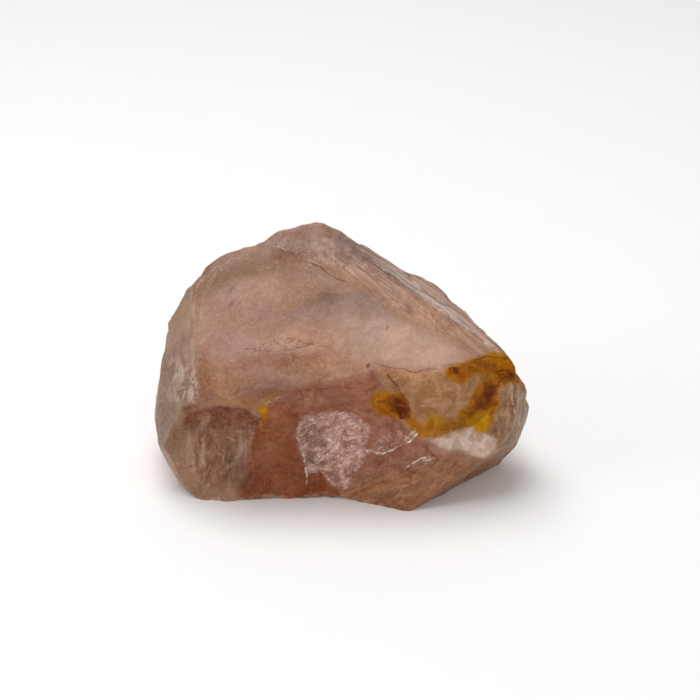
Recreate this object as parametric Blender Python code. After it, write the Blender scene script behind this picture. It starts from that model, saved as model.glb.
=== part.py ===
"""A chunk of rose quartz, broken from the vein: one solid stone.

The stone is what is left inside a set of fracture surfaces.  Every surface is
measured from a heart point inside the stone, so along any direction the skin
lies at the nearest surface.  Broad swells and rib marks ride on the surfaces,
scars and chips are ball-shaped bites, and the underside is one flat face.

Directions are given as facing and tilt in degrees: facing 0 is the front,
facing 90 is the right end, and tilt is the angle above the horizon.
"""
import math

import bmesh
import bpy
import numpy as np

# Overall sizes, millimetres
MILLIMETRE = 0.001
HEART_HEIGHT = 24.0
SKIN_DETAIL = 7
RAY_SPACING = 0.0095
RIDGE_SLIDES = (0.42, 0.12)
TRIANGLE_TARGET = 9500
EVEN_SIZE = 0.45
EVEN_PASSES = 2
SEED = 41

# Fracture surfaces: facing, tilt, reach from the heart, ball radius.
# Radius 0 is a flat break, a positive radius is a hollow, a negative one a dome.
FRACTURES = {
    "upper_slope": (-4, 50, 19.6, -150),
    "crown": (-151, 50, 24.6, 0),
    "rim": (-107, 46, 31.1, 0),
    "roof": (93.7, 61.4, 22.2, 0),
    "back_high": (145, 41.4, 18.8, 0),
    "back_right": (136, 22, 24.6, 0),
    "shoulder": (115.3, 30.3, 23.0, 0),
    "left_high": (-92.3, 3.4, 36.4, 0),
    "left_strip": (-71, 18, 32.3, 0),
    "back_left": (-137, 33, 25.6, 0),
    "cheek": (10, 3, 25.2, 150),
    "front": (-7.5, -16.2, 20.2, 45),
    "bay": (-37.2, -16.8, 26.3, 20),
    "flank": (14, -3, 26.5, 0),
    "keel": (44.5, -35.1, 35.2, 0),
    "right_end": (73.8, 0.3, 39.4, -55),
    "low_left": (-63.3, -20.2, 41.0, -60),
    "back": (175, 4, 25.0, 0),
    "back_low": (-165, -32, 27.0, 0),
    "left_back": (-83.5, -22, 40.5, -90),
    "right_back": (120.5, -15.5, 33.0, 0),
    "underside": (0, -90, 25.0, 0),
}

# Broad swell riding on the surfaces: height and wave length, millimetres
SWELL_DEFAULT = (0.30, 15.0)
SWELLS = {
    "upper_slope": (0.45, 19.0),
    "roof": (0.12, 11.0),
    "crown": (0.15, 12.0),
    "rim": (0.15, 12.0),
    "left_strip": (0.20, 13.0),
    "cheek": (0.12, 12.0),
    "flank": (0.18, 12.0),
    "front": (0.25, 14.0),
    "back": (0.60, 14.0),
    "back_high": (0.20, 12.0),
    "shoulder": (0.15, 10.0),
    "back_right": (0.30, 13.0),
    "back_low": (0.55, 13.0),
    "underside": (0.05, 12.0),
}
SWELL_WAVES = 7

# Curved rib marks spreading from the struck point of a break:
# rib height, rib spacing, facing and tilt of the struck point
RIBS = {
    "front": (0.05, 4.2, -20, 30),
    "bay": (0.06, 3.4, -60, 10),
    "right_end": (0.14, 3.6, 80, 45),
    "back": (0.16, 4.6, 150, 50),
    "back_low": (0.14, 4.4, -120, -10),
    "roof": (0.08, 3.0, 60, 60),
}

# Scars found on the stone: facing, tilt, turn and lift of the bite, depth, ball radius
SCARS = {
    "apex_step": (-98.4, 56, 0, 0, 1.15, 6.5),
    "plain_scar": (-45.6, -40.4, -14, -4, 0.5, 17.0),
    "rough_scar": (-7, -37, 0, 8, 0.85, 30.0),
    "smooth_scar": (24, -34.7, 10, -6, 0.5, 16.0),
    "lens_scar_upper": (26, -20, -6, 20, 0.5, 8.0),
    "lens_scar_lower": (35.5, -24, -6, 20, 0.45, 7.0),
    "pale_ledge": (50, -17.5, 0, 26, 0.75, 12.0),
    "stained_pit": (23.5, -1, 0, 0, 0.8, 3.6),
    "stained_wedge": (54, -1, 10, 0, 0.6, 10.0),
    "rim_nick": (-94, 47.1, 0, 0, 0.33, 4.0),
    "rim_dip": (-89, 29, 0, 0, 0.9, 8.0),
    "left_dip": (-93.8, 3.2, 0, 0, 0.8, 7.0),
    "end_nick": (74.8, -7.6, 0, 0, 1.4, 5.0),
    "roof_nick": (100.7, 60.6, 0, 0, 0.32, 3.5),
    "roof_nick_low": (67, 16.1, 0, 0, 0.38, 3.5),
}

# Seeded scars on the back and the ends, and small chips along the ridges
BACK_SCARS = 9
BACK_SCAR_BITE = (0.4, 1.2)
BACK_SCAR_RADIUS = (14.0, 34.0)
WOBBLE_FROM = 9.5
SCAR_WOBBLE = 0.22
SCAR_WOBBLE_LENGTH = 8.0
RIDGE_CHIPS = 130
CHIP_BITE = (0.10, 0.34)
CHIP_RADIUS = (1.5, 4.0)
RIDGE_WIDTH = 0.16

# How the skin is sampled
RIDGE_SAMPLES = 14000
LOWEST_CHIP_RAY = -0.6
SHARP_RIDGE = 0.86
UNSCARRED_GAP = 1e-6
STRUCK_POINT_REACH = 34.0
RIB_WANDER = (1.5, 7.0)
GRAZING = 0.02
STEEPEST_LEAN = 0.35
NORMAL_STEP = 0.02
GAP_STEP = 0.002
RIDGE_GAP = 1.0
SWELL_REACH = 60.0
FAR = 1e6

# Stone colour
DUSKY_PINK = (0.43, 0.25, 0.18, 1.0)
STONE_ROUGHNESS = 0.38
QUARTZ_IOR = 1.54


def direction(facing, tilt):
    """Unit vector for a facing and a tilt in degrees."""
    a = math.radians(facing)
    e = math.radians(tilt)
    return np.array([math.sin(a) * math.cos(e), -math.cos(a) * math.cos(e), math.sin(e)])


def swell(points, height, length, rng):
    """Sum of plane waves in random directions, sampled at the points."""
    total = np.zeros(len(points))
    for _ in range(SWELL_WAVES):
        wave = rng.normal(size=3)
        wave *= 2.0 * math.pi / (length * rng.uniform(0.6, 1.5) * np.linalg.norm(wave))
        total += np.sin(points @ wave + rng.uniform(0.0, 2.0 * math.pi))
    return total * height / math.sqrt(SWELL_WAVES / 2.0)


def flat_or_ball(rays, normal, reach, radius):
    """Distance along each ray to a flat break, a hollow or a dome."""
    facing = rays @ normal
    if radius == 0:
        return np.where(facing > GRAZING, reach / np.maximum(facing, GRAZING), FAR)
    centre = reach + radius
    root = radius * radius - centre * centre * (1.0 - facing * facing)
    met = np.sqrt(np.maximum(root, 0.0))
    if radius > 0:
        return np.where((root > 0) & (facing > 0), centre * facing - met, FAR)
    return centre * facing + met


def bite_distance(rays, centre, radius):
    """Distance along each ray to the near side of a ball, or very far."""
    along = rays @ centre
    root = radius * radius - (centre @ centre - along * along)
    met = np.sqrt(np.maximum(root, 0.0))
    return np.where((root > 0) & (along > 0), along - met, FAR)


class Stone:
    """The skin distance of the stone along any direction from its heart."""

    def __init__(self):
        self.bites = []

    def depths(self, rays):
        """Distance to every fracture surface, one column each."""
        rng = np.random.default_rng(SEED)
        columns = []
        for name, (facing, tilt, reach, radius) in FRACTURES.items():
            normal = direction(facing, tilt)
            depth = flat_or_ball(rays, normal, reach, radius)
            height, length = SWELLS.get(name, SWELL_DEFAULT)
            near = np.minimum(depth, SWELL_REACH)
            skin = rays * near[:, None]
            offset = swell(skin, height, length, rng)
            if name in RIBS:
                offset = offset + self.ribs(skin, *RIBS[name])
            lean = np.maximum(rays @ normal, STEEPEST_LEAN)
            columns.append(depth + offset / lean)
        return np.stack(columns, axis=1)

    @staticmethod
    def ribs(skin, height, spacing, facing, tilt):
        """Rounded ribs in rings about a struck point beyond the skin."""
        struck = direction(facing, tilt) * STRUCK_POINT_REACH
        away = np.linalg.norm(skin - struck, axis=1)
        wander = RIB_WANDER[0] * np.sin(away / RIB_WANDER[1])
        wave = np.sin(2.0 * math.pi * away / spacing + wander)
        return height * (np.abs(wave) - 0.5)

    def two_nearest(self, rays):
        """The nearest and second nearest surface along each ray."""
        depths = self.depths(rays)
        order = np.sort(depths, axis=1)
        first = order[:, 0]
        second = order[:, 1]
        for number, (centre, radius) in enumerate(self.bites):
            depth = bite_distance(rays, centre, radius)
            if radius > WOBBLE_FROM:
                reached = np.flatnonzero(depth < FAR)
                skin = rays[reached] * depth[reached, None]
                rng = np.random.default_rng(SEED + 100 + number)
                depth[reached] += swell(skin, SCAR_WOBBLE, SCAR_WOBBLE_LENGTH, rng)
            second = np.where(depth < first, first, np.minimum(second, depth))
            first = np.minimum(first, depth)
        return first, second

    def outward(self, ray):
        """Skin point and outward normal along one ray."""
        side = np.cross(ray, [0.0, 0.0, 1.0])
        side /= np.linalg.norm(side)
        over = np.cross(side, ray)
        fan = np.array([ray, ray + side * NORMAL_STEP, ray + over * NORMAL_STEP])
        fan /= np.linalg.norm(fan, axis=1, keepdims=True)
        near, _ = self.two_nearest(fan)
        corners = fan * near[:, None]
        normal = np.cross(corners[1] - corners[0], corners[2] - corners[0])
        normal /= np.linalg.norm(normal)
        if normal @ ray < 0:
            normal = -normal
        return corners[0], normal

    def add_bite(self, ray, bite, radius, turn=0.0, lift=0.0):
        """Take a ball-shaped bite out of the skin along a ray, swung by turn and lift."""
        point, normal = self.outward(ray)
        if turn or lift:
            facing = math.degrees(math.atan2(normal[0], -normal[1]))
            tilt = math.degrees(math.asin(normal[2]))
            normal = direction(facing + turn, tilt + lift)
        self.bites.append((point + normal * (radius - bite), radius))


def shape_stone():
    """Fracture surfaces, then named scars, back scars and ridge chips."""
    stone = Stone()
    for facing, tilt, turn, lift, bite, radius in SCARS.values():
        stone.add_bite(direction(facing, tilt), bite, radius, turn, lift)
    rng = np.random.default_rng(SEED + 1)
    for _ in range(BACK_SCARS):
        ray = direction(rng.uniform(95, 265), rng.uniform(-25, 45))
        stone.add_bite(ray, rng.uniform(*BACK_SCAR_BITE), rng.uniform(*BACK_SCAR_RADIUS))
    rays = rng.normal(size=(RIDGE_SAMPLES, 3))
    rays /= np.linalg.norm(rays, axis=1, keepdims=True)
    depths = stone.depths(rays)
    order = np.argsort(depths, axis=1)
    breaks = np.take_along_axis(depths, order, axis=1)
    normals = np.array([direction(facing, tilt) for facing, tilt, _, _ in FRACTURES.values()])
    alike = np.sum(normals[order[:, 0]] * normals[order[:, 1]], axis=1)
    skin, _ = stone.two_nearest(rays)
    ridge = breaks[:, 1] - breaks[:, 0] < RIDGE_WIDTH
    unscarred = skin > breaks[:, 0] - UNSCARRED_GAP
    on_ridge = rays[ridge & unscarred & (alike < SHARP_RIDGE) & (rays[:, 2] > LOWEST_CHIP_RAY)]
    for ray in on_ridge[:RIDGE_CHIPS]:
        stone.add_bite(ray, rng.uniform(*CHIP_BITE), rng.uniform(*CHIP_RADIUS))
    return stone


def slide_to_ridges(stone, rays, share):
    """Move rays that pass close to a ridge onto it, so ridges stay crisp."""
    side = np.cross(rays, np.array([0.13, 0.21, 0.97]))
    side /= np.linalg.norm(side, axis=1, keepdims=True)
    over = np.cross(side, rays)

    def gap(fan):
        fan = fan / np.linalg.norm(fan, axis=1, keepdims=True)
        first, second = stone.two_nearest(fan)
        return second - first

    here = gap(rays)
    slope_side = (gap(rays + side * GAP_STEP) - here) / GAP_STEP
    slope_over = (gap(rays + over * GAP_STEP) - here) / GAP_STEP
    steep = slope_side ** 2 + slope_over ** 2 + 1e-9
    move = -(here / steep)[:, None] * (slope_side[:, None] * side + slope_over[:, None] * over)
    size = np.linalg.norm(move, axis=1)
    close = (size < share * RAY_SPACING) & (here < RIDGE_GAP)
    moved = rays + np.where(close[:, None], move, 0.0)
    return moved / np.linalg.norm(moved, axis=1, keepdims=True)


def build_mesh(stone):
    """Skin mesh of the stone in millimetres, before thinning."""
    bm = bmesh.new()
    bmesh.ops.create_icosphere(bm, subdivisions=SKIN_DETAIL, radius=1.0)
    rays = np.array([v.co[:] for v in bm.verts])
    rays /= np.linalg.norm(rays, axis=1, keepdims=True)
    for share in RIDGE_SLIDES:
        rays = slide_to_ridges(stone, rays, share)
    first, _ = stone.two_nearest(rays)
    skin = rays * first[:, None]
    for vert, place in zip(bm.verts, skin):
        vert.co = place
    return bm


def evaluated(mesh, kind, **settings):
    """A copy of the mesh after one modifier."""
    holder = bpy.data.objects.new("skin", mesh)
    bpy.context.scene.collection.objects.link(holder)
    modifier = holder.modifiers.new("step", kind)
    for name, value in settings.items():
        setattr(modifier, name, value)
    graph = bpy.context.evaluated_depsgraph_get()
    result = bpy.data.meshes.new_from_object(holder.evaluated_get(graph))
    bpy.data.objects.remove(holder)
    return result


def thin(mesh):
    """Even out the skin, then collapse its flat areas to the triangle target."""
    even = evaluated(mesh, "REMESH", mode="VOXEL", voxel_size=EVEN_SIZE, adaptivity=0.0)
    even = evaluated(even, "SMOOTH", factor=0.5, iterations=EVEN_PASSES)
    triangles = sum(len(face.vertices) - 2 for face in even.polygons)
    return evaluated(even, "DECIMATE", ratio=TRIANGLE_TARGET / triangles)


def flatten_base(mesh):
    """Cut the resting face exactly flat and close it."""
    bm = bmesh.new()
    bm.from_mesh(mesh)
    whole = bm.verts[:] + bm.edges[:] + bm.faces[:]
    bmesh.ops.bisect_plane(
        bm, geom=whole, dist=1e-4, plane_co=(0, 0, -HEART_HEIGHT), plane_no=(0, 0, 1), clear_inner=True
    )
    bmesh.ops.remove_doubles(bm, verts=bm.verts[:], dist=0.02)
    rim = [e for e in bm.edges if e.is_boundary]
    bmesh.ops.holes_fill(bm, edges=rim, sides=0)
    bmesh.ops.triangulate(bm, faces=bm.faces[:])
    bmesh.ops.recalc_face_normals(bm, faces=bm.faces[:])
    return bm


def centre_and_scale(bm):
    """Put the middle of the footprint box at the origin, in metres."""
    places = np.array([v.co[:] for v in bm.verts])
    low = places.min(axis=0)
    high = places.max(axis=0)
    middle = (low + high) / 2.0
    for vert in bm.verts:
        vert.co.x = (vert.co.x - middle[0]) * MILLIMETRE
        vert.co.y = (vert.co.y - middle[1]) * MILLIMETRE
        vert.co.z = (vert.co.z + HEART_HEIGHT) * MILLIMETRE


def quartz_material():
    """Dusky pink stone."""
    material = bpy.data.materials.new("rose_quartz")
    material.use_nodes = True
    shader = material.node_tree.nodes["Principled BSDF"]
    shader.inputs["Base Color"].default_value = DUSKY_PINK
    shader.inputs["Roughness"].default_value = STONE_ROUGHNESS
    shader.inputs["IOR"].default_value = QUARTZ_IOR
    return material


for old in list(bpy.data.objects):
    bpy.data.objects.remove(old)

skin_bmesh = build_mesh(shape_stone())
skin_mesh = bpy.data.meshes.new("skin")
skin_bmesh.to_mesh(skin_mesh)
skin_bmesh.free()
stone_bmesh = flatten_base(thin(skin_mesh))
centre_and_scale(stone_bmesh)
stone_mesh = bpy.data.meshes.new("rose_quartz_chunk")
stone_bmesh.to_mesh(stone_mesh)
stone_bmesh.free()
stone_mesh.materials.append(quartz_material())
chunk = bpy.data.objects.new("rose_quartz_chunk", stone_mesh)
bpy.context.scene.collection.objects.link(chunk)
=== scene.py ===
"""Looks of the rose quartz chunk: fine skin, stains, veils, light and camera."""

import math
from types import SimpleNamespace

import bmesh
import bpy
import numpy as np
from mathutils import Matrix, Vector, noise


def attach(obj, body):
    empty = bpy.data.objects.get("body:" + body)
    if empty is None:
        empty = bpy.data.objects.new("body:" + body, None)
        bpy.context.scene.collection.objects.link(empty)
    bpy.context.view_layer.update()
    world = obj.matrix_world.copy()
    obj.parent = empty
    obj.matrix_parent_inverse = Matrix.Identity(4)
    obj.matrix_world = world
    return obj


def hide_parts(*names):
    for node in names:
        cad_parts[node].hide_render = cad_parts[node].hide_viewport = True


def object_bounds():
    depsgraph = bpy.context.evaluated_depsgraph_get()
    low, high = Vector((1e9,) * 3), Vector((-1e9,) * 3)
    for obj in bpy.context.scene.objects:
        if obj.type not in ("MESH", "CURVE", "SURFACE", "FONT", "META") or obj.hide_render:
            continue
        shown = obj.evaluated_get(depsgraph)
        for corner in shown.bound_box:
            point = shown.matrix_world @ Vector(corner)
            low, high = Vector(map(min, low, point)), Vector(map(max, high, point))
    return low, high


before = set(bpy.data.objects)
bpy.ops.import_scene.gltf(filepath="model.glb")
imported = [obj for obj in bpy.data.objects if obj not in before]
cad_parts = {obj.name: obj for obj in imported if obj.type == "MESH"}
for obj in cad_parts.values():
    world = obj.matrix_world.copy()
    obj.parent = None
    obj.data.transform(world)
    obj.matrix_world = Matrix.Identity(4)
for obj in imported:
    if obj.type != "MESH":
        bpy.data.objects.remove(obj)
cad_low, cad_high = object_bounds()

MM = 0.001
NODE = "rose_quartz_chunk"

# Camera: seen from the front, 25 degrees above the table
ELEVATION = math.radians(25.0)
TARGET = np.array([2.0, -1.01, 24.7]) * MM
DISTANCE = 395.3 * MM
LENS = 100.0
SENSOR = 36.0
PHOTO_SIDE = 700.0
RIGHT = np.array([1.0, 0.0, 0.0])
UP = np.array([0.0, math.sin(ELEVATION), math.cos(ELEVATION)])
BACK = np.array([0.0, -math.cos(ELEVATION), math.sin(ELEVATION)])
EYE = TARGET + BACK * DISTANCE
PER_PIXEL = SENSOR / LENS / PHOTO_SIDE

# Skin
SKIN_TRIANGLES = 7900
CREASE_ANGLE = math.radians(24.0)

# Lowest part of the skin, kept flat so that the stone rests on it
RESTING_BAND = 0.02 * MM

# Depth of the stone's colour, its gloss and its glow
SATURATION = 1.10
QUARTZ_IOR = 1.54
SPECULAR = 0.06
COAT = 0.18
COAT_ROUGHNESS = 0.16
GLOW = 0.18
GLOW_COLOURS = (1.0, 0.42, 0.28)
GLOW_DEPTH = 1.5 * MM
TRANSMISSION = 0.05
BUMP_STRENGTH = 0.6
BUMP_HEIGHT = 0.3 * MM

# Marks, in pixels: a distance beyond all others, and the farthest distance to a line that is stored
NOWHERE = 1e9
SIDE_LIMIT = 50.0
# Softness of the clouds, and the share of the noise that bends the thin lines
CLOUD_SOFTNESS = 0.9
THREAD_WARP = 0.35

# Floor in metres: half width, front edge, start and radius of the bend, top of the wall
FLOOR_SIDE = 2.0
FLOOR_FRONT = -1.2
FLOOR_BEND = 0.45
FLOOR_RADIUS = 0.35
FLOOR_STEPS = 12
WALL_TOP = 1.6

# Soft lights: name, place, size and power
LIGHTS = [
    ("top_light", (-0.12, 0.05, 0.75), 0.55, 3.7),
    ("front_fill", (0.15, -0.9, 0.55), 0.6, 1.7),
    ("left_light", (-0.7, -0.3, 0.4), 0.4, 1.0),
]
LIGHT_AIM = (0, 0, 0.02)
WORLD_LIGHT = 0.34


def smooth(low, high, value):
    """Smooth step from 0 at low to 1 at high."""
    t = np.clip((value - low) / (high - low), 0.0, 1.0)
    return t * t * (3.0 - 2.0 * t)


def to_photo(points):
    """Pixel place of points in metres, as the camera sees them."""
    away = points - EYE
    depth = -(away @ BACK)
    px = PHOTO_SIDE / 2 + (away @ RIGHT) / depth / PER_PIXEL
    py = PHOTO_SIDE / 2 - (away @ UP) / depth / PER_PIXEL
    return px, py


def grain(points, size, shift=0.0, octaves=1):
    """Noise from -1 to 1 with grains of a size in millimetres."""
    scaled = points / (size * MM) + shift
    if octaves == 1:
        return np.array([noise.noise(Vector(p)) for p in scaled])
    return np.array([noise.fractal(Vector(p), 0.9, 2.1, octaves) for p in scaled])


def combed(points, along, length, width, shift=0.0):
    """Noise drawn out along a direction: fine parallel striations."""
    along = np.array(along, float)
    along /= np.linalg.norm(along)
    run = points @ along
    across = points - run[:, None] * along
    place = across / (width * MM) + run[:, None] * along / (length * MM) + shift
    return np.array([noise.noise(Vector(p)) for p in place])


def skin_mesh(source):
    """Finer copy of the stone's mesh, creased along its sharp ridges."""
    bm = bmesh.new()
    bm.from_mesh(source.data)
    bmesh.ops.remove_doubles(bm, verts=bm.verts[:], dist=1e-6)
    mesh = bpy.data.meshes.new("quartz_skin")
    bm.to_mesh(mesh)
    bm.free()
    skin = bpy.data.objects.new("quartz_skin", mesh)
    bpy.context.scene.collection.objects.link(skin)
    thin = skin.modifiers.new("thin", "DECIMATE")
    thin.ratio = min(1.0, SKIN_TRIANGLES / len(mesh.polygons))
    apply_modifiers(skin)
    bm = bmesh.new()
    bm.from_mesh(skin.data)
    crease = bm.edges.layers.float.new("crease_edge")
    for edge in bm.edges:
        if len(edge.link_faces) == 2 and edge.calc_face_angle(0.0) > CREASE_ANGLE:
            edge[crease] = 0.9
    bm.to_mesh(skin.data)
    bm.free()
    fine = skin.modifiers.new("fine", "SUBSURF")
    fine.levels = 2
    fine.render_levels = 2
    apply_modifiers(skin)
    return skin


def apply_modifiers(obj):
    """Replace the mesh by its evaluated copy."""
    graph = bpy.context.evaluated_depsgraph_get()
    mesh = bpy.data.meshes.new_from_object(obj.evaluated_get(graph))
    obj.modifiers.clear()
    obj.data = mesh


def coordinates(mesh):
    """Places of the vertices."""
    places = np.empty(len(mesh.vertices) * 3)
    mesh.vertices.foreach_get("co", places)
    return places.reshape(-1, 3)


def normals(mesh):
    """Normals of the vertices."""
    sides = np.empty(len(mesh.vertices) * 3)
    mesh.vertices.foreach_get("normal", sides)
    return sides.reshape(-1, 3)


def gap_to(x, y, start, end):
    """Distance to a straight piece of line, and signed distance to the endless line through it."""
    dx, dy = end[0] - start[0], end[1] - start[1]
    from_x, from_y = x - start[0], y - start[1]
    t = np.clip((from_x * dx + from_y * dy) / (dx * dx + dy * dy), 0.0, 1.0)
    gap = np.hypot(from_x - t * dx, from_y - t * dy)
    return gap, (from_x * dy - from_y * dx) / math.hypot(dx, dy)


class Marks:
    """Masks from 0 to 1 over the skin, placed by pixels of the photo."""

    def __init__(self, points, sides):
        self.px, self.py = to_photo(points)
        self.seen = smooth(-0.05, 0.18, sides @ BACK)
        self.wx = self.px + 5.0 * grain(points, 3.2, 11.0) + 2.2 * grain(points, 1.1, 5.0)
        self.wy = self.py + 5.0 * grain(points, 3.2, 31.0) + 2.2 * grain(points, 1.1, 9.0)

    def warped(self, share):
        """Pixel places pushed about by a share of the noise."""
        return self.px + (self.wx - self.px) * share, self.py + (self.wy - self.py) * share

    def spot(self, x, y, wide, tall, turn, soft):
        """Soft oval, turned clockwise by degrees."""
        a = math.radians(turn)
        dx = self.wx - x
        dy = self.wy - y
        u = (dx * math.cos(a) + dy * math.sin(a)) / wide
        v = (-dx * math.sin(a) + dy * math.cos(a)) / tall
        return (1.0 - smooth(1.0 - soft, 1.0 + soft, np.hypot(u, v))) * self.seen

    def spots(self, ovals):
        """Sum of ovals, the last value of each its strength."""
        return sum(strength * self.spot(*oval) for *oval, strength in ovals)

    def clouds(self, ovals):
        """Sum of very soft ovals."""
        return sum(strength * self.spot(*oval, CLOUD_SOFTNESS) for *oval, strength in ovals)

    def stroke(self, path, width, warp):
        """Soft line along pixels."""
        x, y = self.warped(warp)
        near = np.full(len(x), NOWHERE)
        for start, end in zip(path, path[1:]):
            near = np.minimum(near, gap_to(x, y, start, end)[0])
        return (1.0 - smooth(width * 0.35, width, near)) * self.seen

    def area(self, corners, soft, warp=1.0):
        """Inside of a polygon of pixels, with a soft rim."""
        x, y = self.warped(warp)
        inside = np.zeros(len(x), bool)
        near = np.full(len(x), NOWHERE)
        for (x0, y0), (x1, y1) in zip(corners, corners[1:] + corners[:1]):
            near = np.minimum(near, gap_to(x, y, (x0, y0), (x1, y1))[0])
            if y0 != y1:
                crosses = (y0 > y) != (y1 > y)
                inside ^= crosses & (x < x0 + (y - y0) / (y1 - y0) * (x1 - x0))
        signed = np.where(inside, near, -near)
        return smooth(-soft, soft, signed) * self.seen

    def seeps(self, areas):
        """Sum of areas, each with its strength and softness."""
        return sum(strength * self.area(corners, soft, 0.8) for strength, soft, corners in areas)

    def threads(self, paths):
        """Signed distance in pixels to the nearest thin line, and its strength along its run."""
        x, y = self.warped(THREAD_WARP)
        near = np.full(len(x), NOWHERE)
        side = np.full(len(x), NOWHERE)
        strength = np.zeros(len(x))
        for force, path in paths:
            for start, end in zip(path, path[1:]):
                gap, across = gap_to(x, y, start, end)
                closer = gap < near
                near = np.where(closer, gap, near)
                side = np.where(closer, across, side)
                strength = np.where(closer, force, strength)
        return side, strength * (1.0 - smooth(1.5, 4.0, near)) * self.seen


# Thin lines by pixels of the photo, each with its strength
CRACKS = [
    (0.9, [(314, 265), (320, 267), (325, 271), (332, 277), (345, 280)]),
    (1.0, [(389, 375), (394, 382), (399, 390), (403, 396)]),
    (0.6, [(403, 396), (408, 404), (411, 411)]),
    (0.5, [(396, 382), (400, 393)]),
    (0.6, [(368, 367), (374, 363), (384, 367), (403, 368)]),
    (0.8, [(403, 368), (409, 371), (416, 372), (422, 370)]),
    (0.4, [(422, 370), (442, 367), (456, 364)]),
    (0.9, [(478, 359), (488, 356), (495, 359), (505, 359), (511, 359)]),
    (1.0, [(502, 372), (508, 371), (512, 375), (517, 376)]),
    (0.9, [(498, 384), (502, 379), (507, 377), (512, 377)]),
    (0.5, [(247, 349), (256, 348), (262, 350)]),
    (0.4, [(256, 351), (270, 351)]),
    (0.5, [(262, 345), (272, 341)]),
    (0.4, [(274, 344), (284, 339)]),
    (0.5, [(284, 339), (296, 338), (304, 342)]),
    (0.4, [(280, 345), (290, 347)]),
    (0.5, [(292, 344), (302, 347), (312, 343)]),
    (0.35, [(304, 342), (318, 345), (330, 348)]),
    (0.4, [(286, 350), (298, 349)]),
    (0.7, [(427, 447), (431, 453), (436, 459)]),
    (0.5, [(399, 272), (404, 276), (410, 280)]),
    (0.5, [(404, 271), (409, 277)]),
    (0.7, [(423, 291), (437, 299), (452, 308)]),
    (0.5, [(412, 291), (425, 300), (438, 307)]),
    (0.4, [(446, 298), (456, 305)]),
    (0.4, [(366, 258), (378, 265), (392, 276)]),
    (0.35, [(344, 262), (362, 270), (384, 284)]),
    (0.35, [(393, 300), (407, 305)]),
    (0.35, [(411, 311), (420, 318)]),
    (0.3, [(385, 315), (387, 327)]),
    (0.4, [(359, 325), (364, 336)]),
]
PALE_THREADS = [
    # Painted glints: apex chips, the edge of the rough scar and the lens chips
    (1.0, [(333, 253), (335, 259), (334, 263)]),
    (0.8, [(311, 261), (318, 265)]),
    (0.9, [(280, 248), (284, 250)]),
    (0.9, [(298, 439), (302, 447), (304, 456)]),
    (1.0, [(301, 443), (305, 455), (305, 465), (307, 481)]),
    (0.9, [(368, 452), (376, 454), (384, 454)]),
    (0.9, [(384, 454), (398, 447), (410, 440), (416, 434)]),
    (0.6, [(400, 444), (408, 436), (414, 431)]),
    (0.9, [(409, 466), (416, 462), (424, 458)]),
    (0.8, [(424, 461), (434, 459)]),
    (0.6, [(311, 468), (318, 473)]),
    # Pale veins and veils
    (0.35, [(194, 400), (193, 360), (193, 330), (194, 300), (197, 285), (205, 276), (218, 266)]),
    (0.25, [(199, 330), (201, 300), (206, 285), (218, 270), (232, 257)]),
    (0.25, [(207, 290), (215, 275), (227, 264), (241, 256), (254, 251)]),
    (0.25, [(262, 270), (275, 267), (290, 266)]),
    (0.25, [(303, 265), (320, 277), (345, 295)]),
    (0.2, [(213, 352), (218, 330), (228, 310), (240, 298)]),
    (0.35, [(231, 399), (245, 391), (262, 384), (280, 376), (300, 375)]),
    (0.35, [(263, 405), (275, 397), (290, 394), (310, 392)]),
    (0.45, [(203, 444), (202, 455), (206, 466)]),
    (0.3, [(196, 432), (199, 450), (203, 470), (210, 485)]),
    (0.3, [(224, 452), (225, 464), (229, 474)]),
    (0.4, [(246, 443), (241, 452), (234, 460), (230, 468)]),
    (0.3, [(235, 458), (236, 470), (231, 482), (227, 492)]),
    (0.35, [(192, 446), (194, 456), (194, 463)]),
    (0.3, [(179, 465), (188, 466), (194, 462)]),
    (0.35, [(230, 437), (236, 440), (244, 441)]),
    (0.3, [(238, 432), (246, 432), (252, 434)]),
    # Painted highlight along the ridge top
    (0.5, [(364, 251), (384, 268), (403, 283), (430, 302), (450, 317), (473, 332), (500, 354)]),
    (0.5, [(513, 387), (512, 400), (515, 415), (520, 424)]),
    (0.35, [(518, 392), (519, 408), (521, 420)]),
    (0.3, [(345, 497), (358, 486), (372, 478)]),
    (0.25, [(380, 492), (410, 484), (440, 474)]),
    (0.25, [(365, 502), (400, 497), (440, 484), (480, 468)]),
    (0.4, [(168, 391), (172, 383), (176, 376)]),
    (0.3, [(156, 404), (166, 400), (180, 401)]),
]

# Regions by pixels of the photo
SLOPE = [
    (193, 400), (196, 300), (215, 268), (245, 250), (300, 228), (327, 222), (370, 256), (421, 298),
    (472, 337), (507, 360), (460, 362), (430, 369), (370, 367), (340, 377), (290, 386), (250, 398),
]
APEX = [
    (262, 244), (276, 228), (314, 215), (345, 228), (356, 243), (346, 262), (336, 270), (325, 266),
    (314, 262), (300, 256), (284, 251),
]
GREY_FACET = [
    (336, 240), (352, 240), (372, 256), (392, 272), (410, 288), (384, 278), (352, 262), (338, 264),
]
ROOF = [
    (327, 215), (364, 250), (403, 283), (450, 317), (473, 332), (507, 360), (520, 350), (440, 270),
    (345, 210),
]
ROOF_BAND = [
    (362, 248), (384, 262), (405, 274), (430, 296), (452, 310), (474, 328), (503, 356), (473, 333),
    (450, 318), (403, 284),
]
LEFT_STRIP = [
    (140, 400), (192, 402), (193, 300), (215, 262), (150, 262),
]
TORN = [
    (169, 356), (184, 360), (197, 374), (198, 401), (176, 403), (166, 396), (176, 384), (170, 372),
]
LOWER_FRONT = [
    (262, 405), (300, 390), (345, 382), (374, 372), (384, 400), (412, 430), (430, 455), (415, 520),
    (235, 520), (245, 450),
]
BAY = [
    (140, 405), (195, 404), (252, 408), (260, 424), (247, 444), (240, 462), (228, 490), (226, 510),
    (140, 510),
]
# Hollow under the brow: cut into the relief, and painted with shade
OVERHANG = [
    (184, 424), (192, 414), (206, 409), (228, 406), (246, 411), (257, 420), (262, 431), (255, 437),
    (244, 430), (226, 427), (208, 434), (192, 436),
]
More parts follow.
